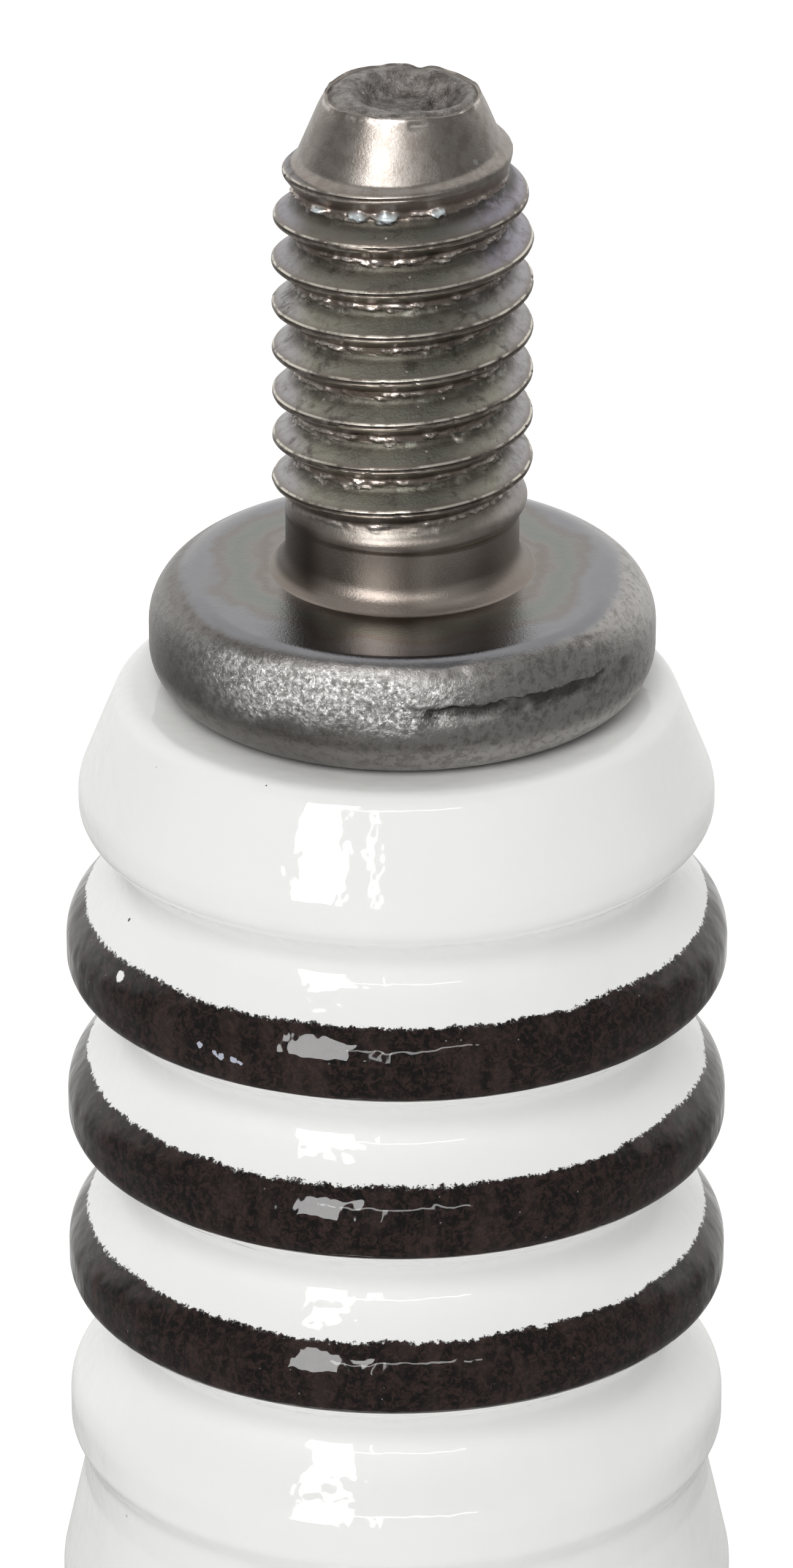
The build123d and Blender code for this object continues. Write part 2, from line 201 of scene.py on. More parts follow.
def value_noise(around, along, cells, height, seed):
    """Smooth noise from -1 to 1 on a cylinder: cells round it, each of that height."""
    rng = np.random.default_rng(seed)
    rows = 257
    lattice = rng.uniform(-1, 1, (rows, cells))
    u = np.mod(around / TURN, 1) * cells
    v = np.mod(along / height, rows - 1)
    iu = np.floor(u).astype(int) % cells
    iv = np.floor(v).astype(int)
    fu = u - np.floor(u)
    fv = v - np.floor(v)
    fu = fu * fu * (3 - 2 * fu)
    fv = fv * fv * (3 - 2 * fv)
    ju = (iu + 1) % cells
    top = lattice[iv, iu] * (1 - fu) + lattice[iv, ju] * fu
    low = lattice[iv + 1, iu] * (1 - fu) + lattice[iv + 1, ju] * fu
    return top * (1 - fv) + low * fv


def lathe(name, radius, height, angles, closed=False):
    """A mesh from grids of radius and height; rows run down the outline."""
    rows, count = radius.shape
    x = radius * np.cos(angles)
    y = radius * np.sin(angles)
    verts = np.stack([x, y, height], axis=-1).reshape(-1, 3) * MM
    row_index = np.arange(rows * count).reshape(rows, count)
    upper = row_index if closed else row_index[:-1]
    lower = np.roll(row_index, -1, axis=0) if closed else row_index[1:]
    quads = np.stack(
        [upper, lower, np.roll(lower, -1, axis=1), np.roll(upper, -1, axis=1)], axis=-1
    ).reshape(-1, 4)
    faces = [tuple(q) for q in quads.tolist()]
    mesh = bpy.data.meshes.new(name)
    if not closed:
        top = len(verts)
        verts = np.vstack([verts, [0, 0, height[0].mean() * MM], [0, 0, height[-1].mean() * MM]])
        first = row_index[0].tolist()
        last = row_index[-1].tolist()
        for k in range(count):
            faces.append((top, first[k], first[(k + 1) % count]))
            faces.append((top + 1, last[(k + 1) % count], last[k]))
    mesh.from_pydata(verts.tolist(), [], faces)
    mesh.update()
    mesh.polygons.foreach_set("use_smooth", [True] * len(mesh.polygons))
    piece = bpy.data.objects.new(name, mesh)
    bpy.context.scene.collection.objects.link(piece)
    return piece


def store(piece, name, values):
    """Keeps one number per vertex, for a material to read."""
    layer = piece.data.attributes.new(name, "FLOAT", "POINT")
    full = np.zeros(len(piece.data.vertices), dtype=np.float32)
    full[: values.size] = values.reshape(-1)
    layer.data.foreach_set("value", full)


def smooth(edge0, edge1, value):
    """0 at edge0, 1 at edge1, smooth between."""
    part = np.clip((value - edge0) / (edge1 - edge0), 0, 1)
    return part * part * (3 - 2 * part)


# -------------------------------------------------------------- node materials


class Shader:
    """A small helper round one Principled material. Positions are in millimetres."""

    def __init__(self, name):
        self.material = bpy.data.materials.new(name)
        self.material.use_nodes = True
        self.tree = self.material.node_tree
        self.surface = self.tree.nodes["Principled BSDF"]
        texture = self.tree.nodes.new("ShaderNodeTexCoord")
        scaled = self.tree.nodes.new("ShaderNodeVectorMath")
        scaled.operation = "SCALE"
        scaled.inputs["Scale"].default_value = 1 / MM
        self.tree.links.new(texture.outputs["Object"], scaled.inputs[0])
        self.position = scaled.outputs[0]
        split = self.tree.nodes.new("ShaderNodeSeparateXYZ")
        self.tree.links.new(self.position, split.inputs[0])
        self.x, self.y, self.z = split.outputs
        self.normal = None

    def link(self, value, socket):
        if isinstance(value, bpy.types.NodeSocket):
            self.tree.links.new(value, socket)
        elif isinstance(value, tuple) and len(value) == 3 and len(socket.default_value) == 4:
            socket.default_value = (*value, 1)
        else:
            socket.default_value = value

    def math(self, operation, first, second=0.0):
        node = self.tree.nodes.new("ShaderNodeMath")
        node.operation = operation
        self.link(first, node.inputs[0])
        self.link(second, node.inputs[1])
        return node.outputs[0]

    def add(self, first, second):
        return self.math("ADD", first, second)

    def minus(self, first, second):
        return self.math("SUBTRACT", first, second)

    def times(self, first, second):
        return self.math("MULTIPLY", first, second)

    def inverse(self, value):
        return self.minus(1.0, value)

    def jitter(self, noise, amount):
        """Noise spread evenly round 0, as wide in all as amount."""
        return self.times(self.add(noise, -0.5), amount)

    def step(self, value, low, high):
        """0 under low, 1 over high, smooth between."""
        node = self.tree.nodes.new("ShaderNodeMapRange")
        node.interpolation_type = "SMOOTHSTEP"
        self.link(value, node.inputs["Value"])
        node.inputs["From Min"].default_value = low
        node.inputs["From Max"].default_value = high
        return node.outputs["Result"]

    def stretched(self, x, y, z):
        node = self.tree.nodes.new("ShaderNodeVectorMath")
        node.operation = "MULTIPLY"
        self.tree.links.new(self.position, node.inputs[0])
        node.inputs[1].default_value = (x, y, z)
        return node.outputs[0]

    def noise(self, scale, detail=3.0, roughness=0.55, vector=None, distortion=0.0):
        node = self.tree.nodes.new("ShaderNodeTexNoise")
        self.tree.links.new(vector or self.position, node.inputs["Vector"])
        node.inputs["Scale"].default_value = scale
        node.inputs["Detail"].default_value = detail
        node.inputs["Roughness"].default_value = roughness
        node.inputs["Distortion"].default_value = distortion
        return node.outputs["Fac"]

    def cells(self, scale):
        node = self.tree.nodes.new("ShaderNodeTexVoronoi")
        self.tree.links.new(self.position, node.inputs["Vector"])
        node.inputs["Scale"].default_value = scale
        return node.outputs["Distance"]

    def radius(self):
        return self.math("SQRT", self.add(self.times(self.x, self.x), self.times(self.y, self.y)))

    def attribute(self, name):
        node = self.tree.nodes.new("ShaderNodeAttribute")
        node.attribute_name = name
        return node.outputs["Fac"]

    def mix(self, amount, first, second):
        node = self.tree.nodes.new("ShaderNodeMix")
        node.data_type = "RGBA"
        self.link(amount, node.inputs["Factor"])
        self.link(first, node.inputs[6])
        self.link(second, node.inputs[7])
        return node.outputs[2]

    def blend(self, amount, first, second):
        node = self.tree.nodes.new("ShaderNodeMix")
        self.link(amount, node.inputs[0])
        self.link(first, node.inputs[2])
        self.link(second, node.inputs[3])
        return node.outputs[0]

    def spot(self, x, y, z, size, ragged=0.3):
        """1 inside a small irregular spot round a point."""
        node = self.tree.nodes.new("ShaderNodeVectorMath")
        node.operation = "DISTANCE"
        self.tree.links.new(self.position, node.inputs[0])
        node.inputs[1].default_value = (x, y, z)
        wobble = self.jitter(self.noise(9, 2), ragged * size * 4)
        return self.step(self.add(node.outputs["Value"], wobble), size, size * 0.75)

    def bump(self, height, distance):
        """Adds relief: height runs from 0 to 1 and distance is its depth."""
        node = self.tree.nodes.new("ShaderNodeBump")
        node.inputs["Strength"].default_value = 1.0
        node.inputs["Distance"].default_value = distance * MM
        self.tree.links.new(height, node.inputs["Height"])
        if self.normal is not None:
            self.tree.links.new(self.normal, node.inputs["Normal"])
        self.normal = node.outputs["Normal"]

    def finish(self, color, roughness, metallic=0.0, **sockets):
        self.link(color, self.surface.inputs["Base Color"])
        self.link(roughness, self.surface.inputs["Roughness"])
        self.link(metallic, self.surface.inputs["Metallic"])
        for name, value in sockets.items():
            self.link(value, self.surface.inputs[name.replace("_", " ")])
        if self.normal is not None:
            self.tree.links.new(self.normal, self.surface.inputs["Normal"])
        return self.material


def on_glaze(x, drop):
    """The point of the insulator's front at this x, this far under the stud's top."""
    outline = rounded(insulator_outline(), 0.045)
    outside = outline[: np.argmin(outline[:, 1])]
    radius = np.interp(drop - STUD_TOP, -outside[:, 1], outside[:, 0])
    return x, -math.sqrt(radius**2 - x**2), STUD_TOP - drop


def porcelain():
    """Gloss glaze over white ceramic, with fired dark bands on the upper ribs."""
    s = Shader("glazed_porcelain")
    down = s.times(s.minus(FIRST_RIB, s.z), 1 / RIB_PITCH)
    rib = s.math("ROUND", down)
    offset = s.add(s.z, s.add(s.times(rib, RIB_PITCH), -FIRST_RIB))
    coarse = s.jitter(s.noise(1.1, 2), 0.16)
    fine = s.jitter(s.noise(11, 4, 0.75), 0.22)
    upper = s.add(offset, s.add(coarse, fine))
    below_top = s.step(upper, BAND_ABOVE + 0.012, BAND_ABOVE - 0.012)
    waver = s.jitter(s.noise(0.35, 1), 0.05)
    above_bottom = s.step(s.add(offset, waver), -BAND_BELOW - 0.008, -BAND_BELOW + 0.008)
    on_bands = s.times(s.step(rib, -0.6, -0.4), s.step(rib, BAND_COUNT - 0.4, BAND_COUNT - 0.6))
    band = s.times(s.times(below_top, above_bottom), on_bands)
    # a chip in the upper band
    chip = s.spot(*on_glaze(*CHIP), 0.1)
    band = s.times(band, s.inverse(chip))

    tint = s.mix(s.noise(0.5, 2), (0.88, 0.885, 0.865), (0.9, 0.9, 0.89))
    pins = [s.spot(*on_glaze(x, drop), size) for x, drop, size in PIN_HOLES]
    specks = s.times(s.step(s.cells(0.55), 0.02, 0.01), 0.5)
    specks = s.math("MINIMUM", s.add(s.math("MAXIMUM", *pins), specks), 1.0)
    tint = s.mix(specks, tint, (0.1, 0.07, 0.05))

    # the bands: dark grains, streaks and specks of dust
    grain = s.step(s.noise(9, 5, 0.75, distortion=0.8), 0.44, 0.6)
    streak = s.step(s.noise(2.2, 4, 0.6, s.stretched(1, 1, 0.3)), 0.45, 0.7)
    ink = s.mix(grain, (0.0015, 0.0006, 0.0004), (0.027, 0.0145, 0.012))
    ink = s.mix(s.times(streak, 0.4), ink, (0.055, 0.034, 0.029))
    dust = s.step(s.cells(3.2), 0.06, 0.03)
    ink = s.mix(s.times(dust, 0.5), ink, (0.3, 0.29, 0.28))
    # scratches in the glaze of the upper band
    scrape = s.spot(*on_glaze(*SCRAPE), 0.045, 0.8)
    for x, drop in SCRATCHES:
        scrape = s.math("MAXIMUM", scrape, s.spot(*on_glaze(x, drop), 0.05, 0.9))
    ink = s.mix(scrape, ink, (0.45, 0.47, 0.55))
    color = s.mix(band, tint, ink)

    # the glaze ripples slowly, more so over the bands; the stipple is in the print under it
    s.bump(s.noise(0.9, 3, 0.5), 0.05)
    s.bump(s.times(s.noise(1.6, 2, 0.4), band), 0.04)
    glaze = s.normal
    s.bump(s.times(s.noise(9, 3, 0.6), band), 0.005)
    return s.finish(
        color, 0.5, Specular_IOR_Level=0.0, Coat_Weight=1.0, Coat_Roughness=0.045,
        Coat_IOR=1.5, Coat_Normal=glaze,
    )


def tarnished_plate(s, depth, radius, crinkle):
    """Brown-grey tarnish of the plain metal, by zone: cone, turns, neck and rim, with painted
    light and shade on the neck and rim.
    """
    broad = s.noise(0.9, 3, 0.6)
    color = s.mix(broad, (0.3, 0.27, 0.245), (0.4, 0.365, 0.335))
    grain = s.step(s.noise(26, 3, 0.6), 0.45, 0.75)
    color = s.mix(s.times(grain, 0.35), color, (0.46, 0.43, 0.395))
    mottle = s.step(s.noise(4, 5, 0.7), 0.42, 0.62)
    color = s.mix(s.times(mottle, 0.45), color, (0.2, 0.165, 0.14))

    on_turns = s.times(s.step(depth, 1.15, 1.5), s.step(depth, THREAD_BOTTOM, THREAD_BOTTOM - 0.5))
    turns = s.mix(broad, (0.15, 0.125, 0.105), (0.26, 0.225, 0.195))
    color = s.mix(s.times(on_turns, 0.8), color, turns)
    under_thread = s.step(depth, THREAD_BOTTOM - 0.2, THREAD_BOTTOM + 0.1)
    brown = s.mix(broad, (0.22, 0.185, 0.16), (0.3, 0.26, 0.23))
    color = s.mix(s.times(under_thread, s.inverse(crinkle)), color, brown)

    # painted shade darkens the neck on its left and a painted highlight brightens it right of the
    # middle
    neck = s.times(under_thread, s.step(radius, NECK_RADIUS + 0.195, NECK_RADIUS + 0.095))
    painted_shade_left = s.step(s.x, -1.1, -1.45)
    color = s.mix(s.times(neck, painted_shade_left), color, (0.075, 0.06, 0.05))
    painted_highlight_right = s.times(s.step(s.x, 0.05, 0.4), s.step(s.x, 1.3, 0.8))
    color = s.mix(s.times(s.times(neck, painted_highlight_right), 0.8), color, (0.52, 0.46, 0.41))

    # painted light makes the rim lighter on its right; small dark spots lie all round
    rim = s.step(radius, *RIM_FROM)
    painted_light_right = s.step(s.add(s.x, s.times(broad, 1.5)), -1.2, 2.2)
    rim_color = s.mix(painted_light_right, (0.21, 0.197, 0.187), (0.43, 0.41, 0.395))
    color = s.mix(rim, color, rim_color)
    spots = s.step(s.noise(7, 5, 0.75), 0.45, 0.62)
    return s.mix(s.times(s.times(rim, spots), 0.5), color, (0.1, 0.087, 0.078))


def flank_film(s, depth):
    """Grey-green film on the flanks, lilac high on the right; painted light lightens them away
    from the middle, and a lilac painted reflection lies at the edges.
    """
    broad = s.noise(0.9, 3, 0.6)
    from_middle = s.math("ABSOLUTE", s.x)
    green = s.mix(broad, (0.22, 0.225, 0.18), (0.34, 0.34, 0.29))
    # painted light: the flanks are lighter away from the middle
    painted_light_aside = s.step(from_middle, 0.3, 1.1)
    green = s.mix(s.times(painted_light_aside, 0.75), green, (0.54, 0.525, 0.445))
    dark_turn = s.step(s.add(depth, s.times(s.x, 0.25)), 2.6, 1.7)
    green = s.mix(s.times(dark_turn, 0.7), green, (0.06, 0.058, 0.052))

    lilac = s.mix(broad, (0.31, 0.29, 0.34), (0.4, 0.38, 0.44))
    on_right = s.step(s.add(s.x, s.jitter(s.noise(0.5, 2), 1.5)), 0.5, 1.3)
    upper = s.step(s.add(depth, s.jitter(s.noise(0.7, 2), 1.2)), 3.4, 2.2)
    film = s.mix(s.times(on_right, upper), green, lilac)
    # painted reflection: lilac grey at the edges, where the surroundings are mirrored at a grazing
    # angle
    edge_reflection = s.step(from_middle, 1.3, 1.75)
    film = s.mix(s.times(edge_reflection, 0.65), film, (0.5, 0.475, 0.54))
    stains = s.step(s.noise(5, 5, 0.75), 0.46, 0.62)
    return s.mix(s.times(stains, 0.35), film, (0.16, 0.14, 0.115))


def flange_oxide(s, radius):
    """Thin oxide colours in wavering rings on the flange's top."""
    ring = s.add(radius, s.jitter(s.noise(0.75, 4, 0.6), 1.5))
    bands = s.add(s.times(s.math("SINE", s.times(ring, 17)), 0.5), 0.5)
    oxide = s.mix(s.times(bands, 0.6), (0.2, 0.175, 0.155), (0.26, 0.24, 0.225))
    teal = s.times(s.step(ring, 2.2, 2.45), s.step(ring, 2.85, 2.6))
    oxide = s.mix(s.times(teal, 0.75), oxide, (0.2, 0.22, 0.2))
    outer = s.step(ring, 2.7, 3.1)
    return s.mix(s.times(outer, 0.7), oxide, (0.24, 0.25, 0.275))


def from_crest(s, depth):
    """Distance from the nearest crest of the thread, as a part of the pitch."""
    around = s.times(s.math("ARCTAN2", s.y, s.x), 1 / TURN)
    turn = s.minus(s.times(s.minus(CREST_OFFSET, depth), 1 / THREAD_PITCH), around)
    return s.math("ABSOLUTE", s.minus(turn, s.math("ROUND", turn)))


def undercut_shadow(s, depth, radius):
    """1 where painted shadow darkens the ragged undercut right of the crinkled patch."""
    broken = s.add(depth, s.jitter(s.noise(4.5, 4, 0.7), 0.3))
    painted_shadow = s.times(s.step(broken, FLANGE_DEPTH + 0.66, FLANGE_DEPTH + 0.7),
                  s.step(broken, FLANGE_DEPTH + 0.95, FLANGE_DEPTH + 0.8))
    painted_shadow = s.times(painted_shadow, s.times(s.step(s.x, 0.0, 0.4), s.step(s.y, -1.6, -2.1)))
    interrupted = s.step(s.noise(1.1, 2), 0.36, 0.5)
    return s.times(painted_shadow, s.times(interrupted, s.step(radius, 3.4, 3.5)))


def stud_metal():
    """Tarnished nickel plate: bare on burrs, with green-grey flanks and film colours."""
    s = Shader("tarnished_nickel")
    depth = s.minus(STUD_TOP, s.z)
    radius = s.radius()
    bare = s.attribute("bare")
    flank = s.attribute("flank")
    crinkle = s.attribute("crinkle")
    swarf = s.attribute("swarf")
    top = s.attribute("flange_top")
    plain = s.inverse(s.math("MAXIMUM", top, crinkle))
    on_thread = s.times(
        s.step(depth, 1.0, 1.15), s.step(depth, THREAD_BOTTOM, THREAD_BOTTOM - 0.4))

    color = tarnished_plate(s, depth, radius, crinkle)
    color = s.mix(s.times(flank, 0.9), color, flank_film(s, depth))
    color = s.mix(top, color, flange_oxide(s, radius))

    # the two lips of rolled metal meet in a seam along the crest, and a painted highlight runs
    # along each lip
    crest = from_crest(s, depth)
    groove = s.step(crest, 0.05, 0.01)
    color = s.mix(s.times(s.times(groove, on_thread), 0.7), color, (0.2, 0.165, 0.14))
    from_lip = s.math("ABSOLUTE", s.add(crest, -LIP_OFFSET))
    lip_highlights = s.times(s.step(from_lip, 0.028, 0.008), on_thread)
    lip_highlights = s.times(lip_highlights, s.step(s.noise(3, 3, 0.6), 0.38, 0.55))
    color = s.mix(s.times(lip_highlights, 0.9), color, (0.8, 0.755, 0.66))

    # the root is rubbed brown metal, and painted shade darkens it where the flank meets it
    behind = s.times(s.step(radius, 1.76, 1.62), on_thread)
    rubbed_root = s.times(behind, s.inverse(flank))
    color = s.mix(s.times(rubbed_root, 0.6), color, (0.36, 0.28, 0.24))
    shaded = s.times(s.times(behind, flank), s.step(s.noise(3, 4, 0.7), 0.3, 0.5))
    color = s.mix(s.times(shaded, 0.75), color, (0.075, 0.065, 0.052))

    # flakes on the crinkled patch, painted bright where its highlight falls, and bare metal on the
    # burrs
    flakes = s.step(s.noise(10, 4, 0.7), 0.42, 0.62)
    silver_and_highlight = s.mix(flakes, (0.42, 0.41, 0.395), (0.84, 0.83, 0.82))
    color = s.mix(crinkle, color, silver_and_highlight)
    shining = s.step(s.noise(14, 3, 0.6), 0.36, 0.5)
    color = s.mix(s.times(bare, shining), color, (0.86, 0.79, 0.73))

    # black dirt with painted shade in the roots, black dirt low on the flanks, and bright flecks
    # on the turns
    dirt_and_shade = s.times(s.step(s.noise(6, 4, 0.65), 0.58, 0.72), s.step(depth, 1.2, 1.6))
    root = s.step(radius, 1.72, 1.6)
    color = s.mix(s.times(s.times(s.times(dirt_and_shade, root), plain), 0.75), color, BLACK_DIRT_AND_SHADE)
    stain = s.times(s.step(s.noise(1.7, 5, 0.7), 0.55, 0.68), on_thread)
    color = s.mix(s.times(stain, 0.6), color, BLACK_DIRT_AND_SHADE)
    flecks = s.times(s.step(s.cells(2.6), 0.07, 0.03), on_thread)
    color = s.mix(s.times(flecks, 0.8), color, (0.75, 0.73, 0.68))
    # painted shadow in the undercut
    color = s.mix(s.times(undercut_shadow(s, depth, radius), 0.8), color, (0.045, 0.04, 0.036))

    # the cropped tip is duller than the turned cone
    bowl = s.times(s.step(depth, 0.5, 0.42), s.step(radius, TIP_RADIUS - 0.03, TIP_RADIUS - 0.1))
    patches = s.step(s.noise(5, 5, 0.75), 0.35, 0.65)
    grime = s.mix(patches, (0.06, 0.055, 0.05), (0.34, 0.32, 0.305))
    color = s.mix(s.times(bowl, 0.75), color, grime)
    # painted glints in the bowl
    glint = s.times(s.step(s.cells(3.1), 0.07, 0.04), bowl)
    color = s.mix(glint, color, (0.7, 0.69, 0.67))
    fleck = s.spot(*CONE_FLECK, 0.05)
    color = s.mix(fleck, color, (0.5, 0.49, 0.46))
    color = s.mix(swarf, color, (0.62, 0.68, 0.7))

    rough = s.blend(s.noise(5, 3, 0.6), 0.3, 0.4)
    rough = s.blend(top, rough, s.blend(s.noise(2.2, 3), 0.07, 0.15))
    rough = s.blend(crinkle, rough, 0.25)
    rough = s.blend(flank, rough, 0.5)

    s.bump(s.noise(24, 4, 0.7), 0.004)
    rim = s.step(radius, *RIM_FROM)
    grit = s.math("MAXIMUM", s.times(rim, plain), flank)
    s.bump(s.times(s.noise(17, 4, 0.75), grit), 0.007)
    s.bump(s.times(s.noise(14, 4, 0.75), bowl), 0.04)
    s.bump(s.times(s.noise(12, 4, 0.75, distortion=1.5), crinkle), 0.026)
    open_seam = s.times(s.step(s.noise(1.3, 2), 0.35, 0.5), on_thread)
    s.bump(s.times(s.times(groove, open_seam), -1), 0.025)
    return s.finish(color, rough, s.math("SUBTRACT", 1.0, s.times(swarf, 0.7)))


def plated_steel(name, low, high, rough_low, rough_high, relief=0.004, darken_inside_radius=0.0):
    """Satin nickel plate over steel, turned, with fine pits and soft stains."""
    s = Shader(name)
    broad = s.noise(0.35, 4, 0.6)
    fine = s.noise(9, 4, 0.65)
    color = s.mix(broad, low, high)
    stain = s.step(s.noise(0.8, 5, 0.7), 0.56, 0.72)
    darker = tuple(0.55 * part for part in low)
    color = s.mix(s.times(stain, 0.45), color, darker)
    if darken_inside_radius:
        # darker inside this radius under the seat
        in_root = s.step(s.radius(), darken_inside_radius + 0.25, darken_inside_radius)
        under_seat = s.step(s.z, 0.2, -0.2)
        color = s.mix(s.times(s.times(in_root, under_seat), 0.7), color, (0.06, 0.052, 0.045))
    rough = s.blend(fine, rough_low, rough_high)
    rough = s.blend(s.times(stain, 0.6), rough, rough_high + 0.12)
    s.bump(s.noise(1, 3, 0.6, s.stretched(0.15, 0.15, 16)), relief)
    s.bump(s.noise(16, 3, 0.6), relief * 0.6)
    return s.finish(color, rough, 1.0)


def plain_mineral(name, low, high, rough, grain_scale, relief):
    """A dull fired or pressed material with fine grain."""
    s = Shader(name)
    color = s.mix(s.noise(grain_scale, 5, 0.65), low, high)
    s.bump(s.noise(grain_scale * 2, 4, 0.6), relief)
    return s.finish(color, s.blend(s.noise(grain_scale, 3), rough, rough + 0.15))


# -------------------------------------------------------------- the insulator


def insulator_outline():
    """Corners from the top of the bore, down the outside and back up the bore."""
    upper_flank = 1 / math.tan(math.radians(UPPER_FLANK_ANGLE))
    lower_flank = 1 / math.tan(math.radians(LOWER_FLANK_ANGLE))
    last_flank = 1 / math.tan(math.radians(LAST_FLANK_ANGLE))
    corners = [
        (BORE_RADIUS, INSULATOR_TOP, 0),
        (SHOULDER_TOP_RADIUS, INSULATOR_TOP, 0.35),
        (SHOULDER_RADIUS, SHOULDER_BOTTOM + 0.5, 0.8),
        (SHOULDER_RADIUS, SHOULDER_BOTTOM, 0.44),
    ]
    above_radius, above_height = SHOULDER_RADIUS, SHOULDER_BOTTOM
    for rib in range(RIB_COUNT):
        crown = CROWN_RADIUS + CROWN_GROWTH * rib
        middle = FIRST_RIB - RIB_PITCH * rib
        upper, lower = middle + CROWN_ABOVE, middle - CROWN_BELOW
        groove = (upper - above_height + upper_flank * crown + lower_flank * above_radius) / (
            upper_flank + lower_flank
        )
        corners += [
            (groove, above_height - lower_flank * (above_radius - groove), 0.5),
            (crown, upper, 0.72),
            (crown, lower, 0.32),
        ]
        above_radius, above_height = crown, lower
    flank_drop = (above_radius - LAST_GROOVE_RADIUS) * last_flank
    corners += [
        (LAST_GROOVE_RADIUS, above_height - flank_drop, 0.5),
        (LAST_GROOVE_RADIUS, STUD_TOP - 22.93, 0.5),
        (BARREL_RADIUS, STUD_TOP - 24.48, 1.0),
        (BARREL_RADIUS, BARREL_BOTTOM, 0),
        (CLAMPED_RADIUS, BARREL_BOTTOM - 0.3, 0),
        (CLAMPED_RADIUS, 10.7, 0),
        (BIG_END_RADIUS, 9.4, 0),
        (BIG_END_RADIUS, 0.6, 0),
        (NOSE_RADIUS, -1.2, 0),
        (NOSE_RADIUS, -7.8, 0),
        (SEAT_RADIUS, -8.175, 0),
        (SEAT_RADIUS, -9.375, 0),
        (NOSE_TIP_RADIUS, NOSE_TIP, 0.4),
        (SMALL_BORE_RADIUS, NOSE_TIP, 0),
        (SMALL_BORE_RADIUS, -4.0, 0),
        (BORE_RADIUS, -3.3, 0),
    ]
    return corners


def make_insulator():
    """The glazed ceramic, finely meshed above the barrel's lower end."""
    segments = 288
    points = rounded(insulator_outline(), 0.045)
    fine = points[points[:, 1] > BARREL_BOTTOM - 0.01]
    outline = np.vstack([resample(fine, 0.09), points[len(fine):]])
    outline = outline[np.r_[True, np.linalg.norm(np.diff(outline, axis=0), axis=1) > 1e-5]]
    angles = np.linspace(0, TURN, segments, endpoint=False)
    radius = np.repeat(outline[:, :1], segments, axis=1)
    height = np.repeat(outline[:, 1:], segments, axis=1)
    grid = np.repeat(angles[None, :], len(outline), axis=0)
    outer = (radius > 3.0) & (height > BARREL_BOTTOM)
    # the glaze runs and pools a little, and the bands stand proud by their thickness
    waver = 0.012 * value_noise(grid, height, 7, 3.1, 3) + 0.006 * value_noise(
        grid, height, 17, 1.3, 4)
    rib = np.round((FIRST_RIB - height) / RIB_PITCH)
    offset = height - (FIRST_RIB - rib * RIB_PITCH)
    banded = (rib > -0.5) & (rib < BAND_COUNT - 0.5)
    ink = smooth(-BAND_BELOW - 0.03, -BAND_BELOW + 0.02, offset) * smooth(
        BAND_ABOVE + 0.1, BAND_ABOVE - 0.15, offset)
    radius = radius + outer * (waver + 0.014 * ink * banded)
    piece = lathe("glazed_insulator", radius, height, grid, closed=True)
    piece.data.materials.append(porcelain())
    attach(piece, "plug")
    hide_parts("insulator")


# ----------------------------------------------------------- the terminal stud


def stud_grid(segments):
    """Rows of (radius, depth under the top) down the stud, with a tag per stretch."""
    rows = []

    def stretch(tag, points):
        for point in points:
            rows.append((point[0], point[1], tag))

    for r in np.linspace(0.02, TIP_RADIUS - 0.01, 30):
        stretch("dish", [(r, 0)])
    for t in np.linspace(0, 1, 38):
        stretch("cone", [(TIP_RADIUS + (CONE_RADIUS - TIP_RADIUS) * t, CONE_HEIGHT * t)])
    for depth in np.arange(CONE_HEIGHT + 0.02, THREAD_BOTTOM + 0.12, 0.027):
        stretch("thread", [(ROOT_RADIUS, depth)])
    lower = rounded([
        (NECK_RADIUS, -THREAD_BOTTOM - 0.14, 0),
        (NECK_RADIUS, -FLANGE_DEPTH + COLLAR, COLLAR_FLARE),
        (NECK_RADIUS + COLLAR, -FLANGE_DEPTH, 0),
        (NECK_RADIUS + COLLAR + 0.015, -FLANGE_DEPTH, 0),
        (FLANGE_RADIUS, -FLANGE_DEPTH, FLANGE_TOP_ROUNDING),
        (FLANGE_RADIUS, INSULATOR_TOP - STUD_TOP, FLANGE_BOTTOM_ROUNDING),
        (SHANK_RADIUS, INSULATOR_TOP - STUD_TOP, 0),
        (SHANK_RADIUS, STUD_BOTTOM + SHANK_CHAMFER - STUD_TOP, 0),
        (SHANK_RADIUS - SHANK_CHAMFER, STUD_BOTTOM - STUD_TOP, 0),
    ], 0.03)
    neck_end = int(np.argmax(lower[:, 0] > NECK_RADIUS + COLLAR - 1e-4)) + 1
    stretch("neck", [(r, -z) for r, z in resample(lower[:neck_end], 0.06)])
    body = lower[neck_end:]
    underside = int(np.argmax(body[:, 1] < INSULATOR_TOP - STUD_TOP + 1e-4))
    stretch("flange", [(r, -z) for r, z in resample(body[: underside + 1], 0.07)])
    stretch("shank", [(r, -z) for r, z in body[underside + 1:]])
    radius = np.repeat(np.array([row[0] for row in rows])[:, None], segments, axis=1)
    depth = np.repeat(np.array([row[1] for row in rows])[:, None], segments, axis=1)
    return radius, depth, np.array([row[2] for row in rows])


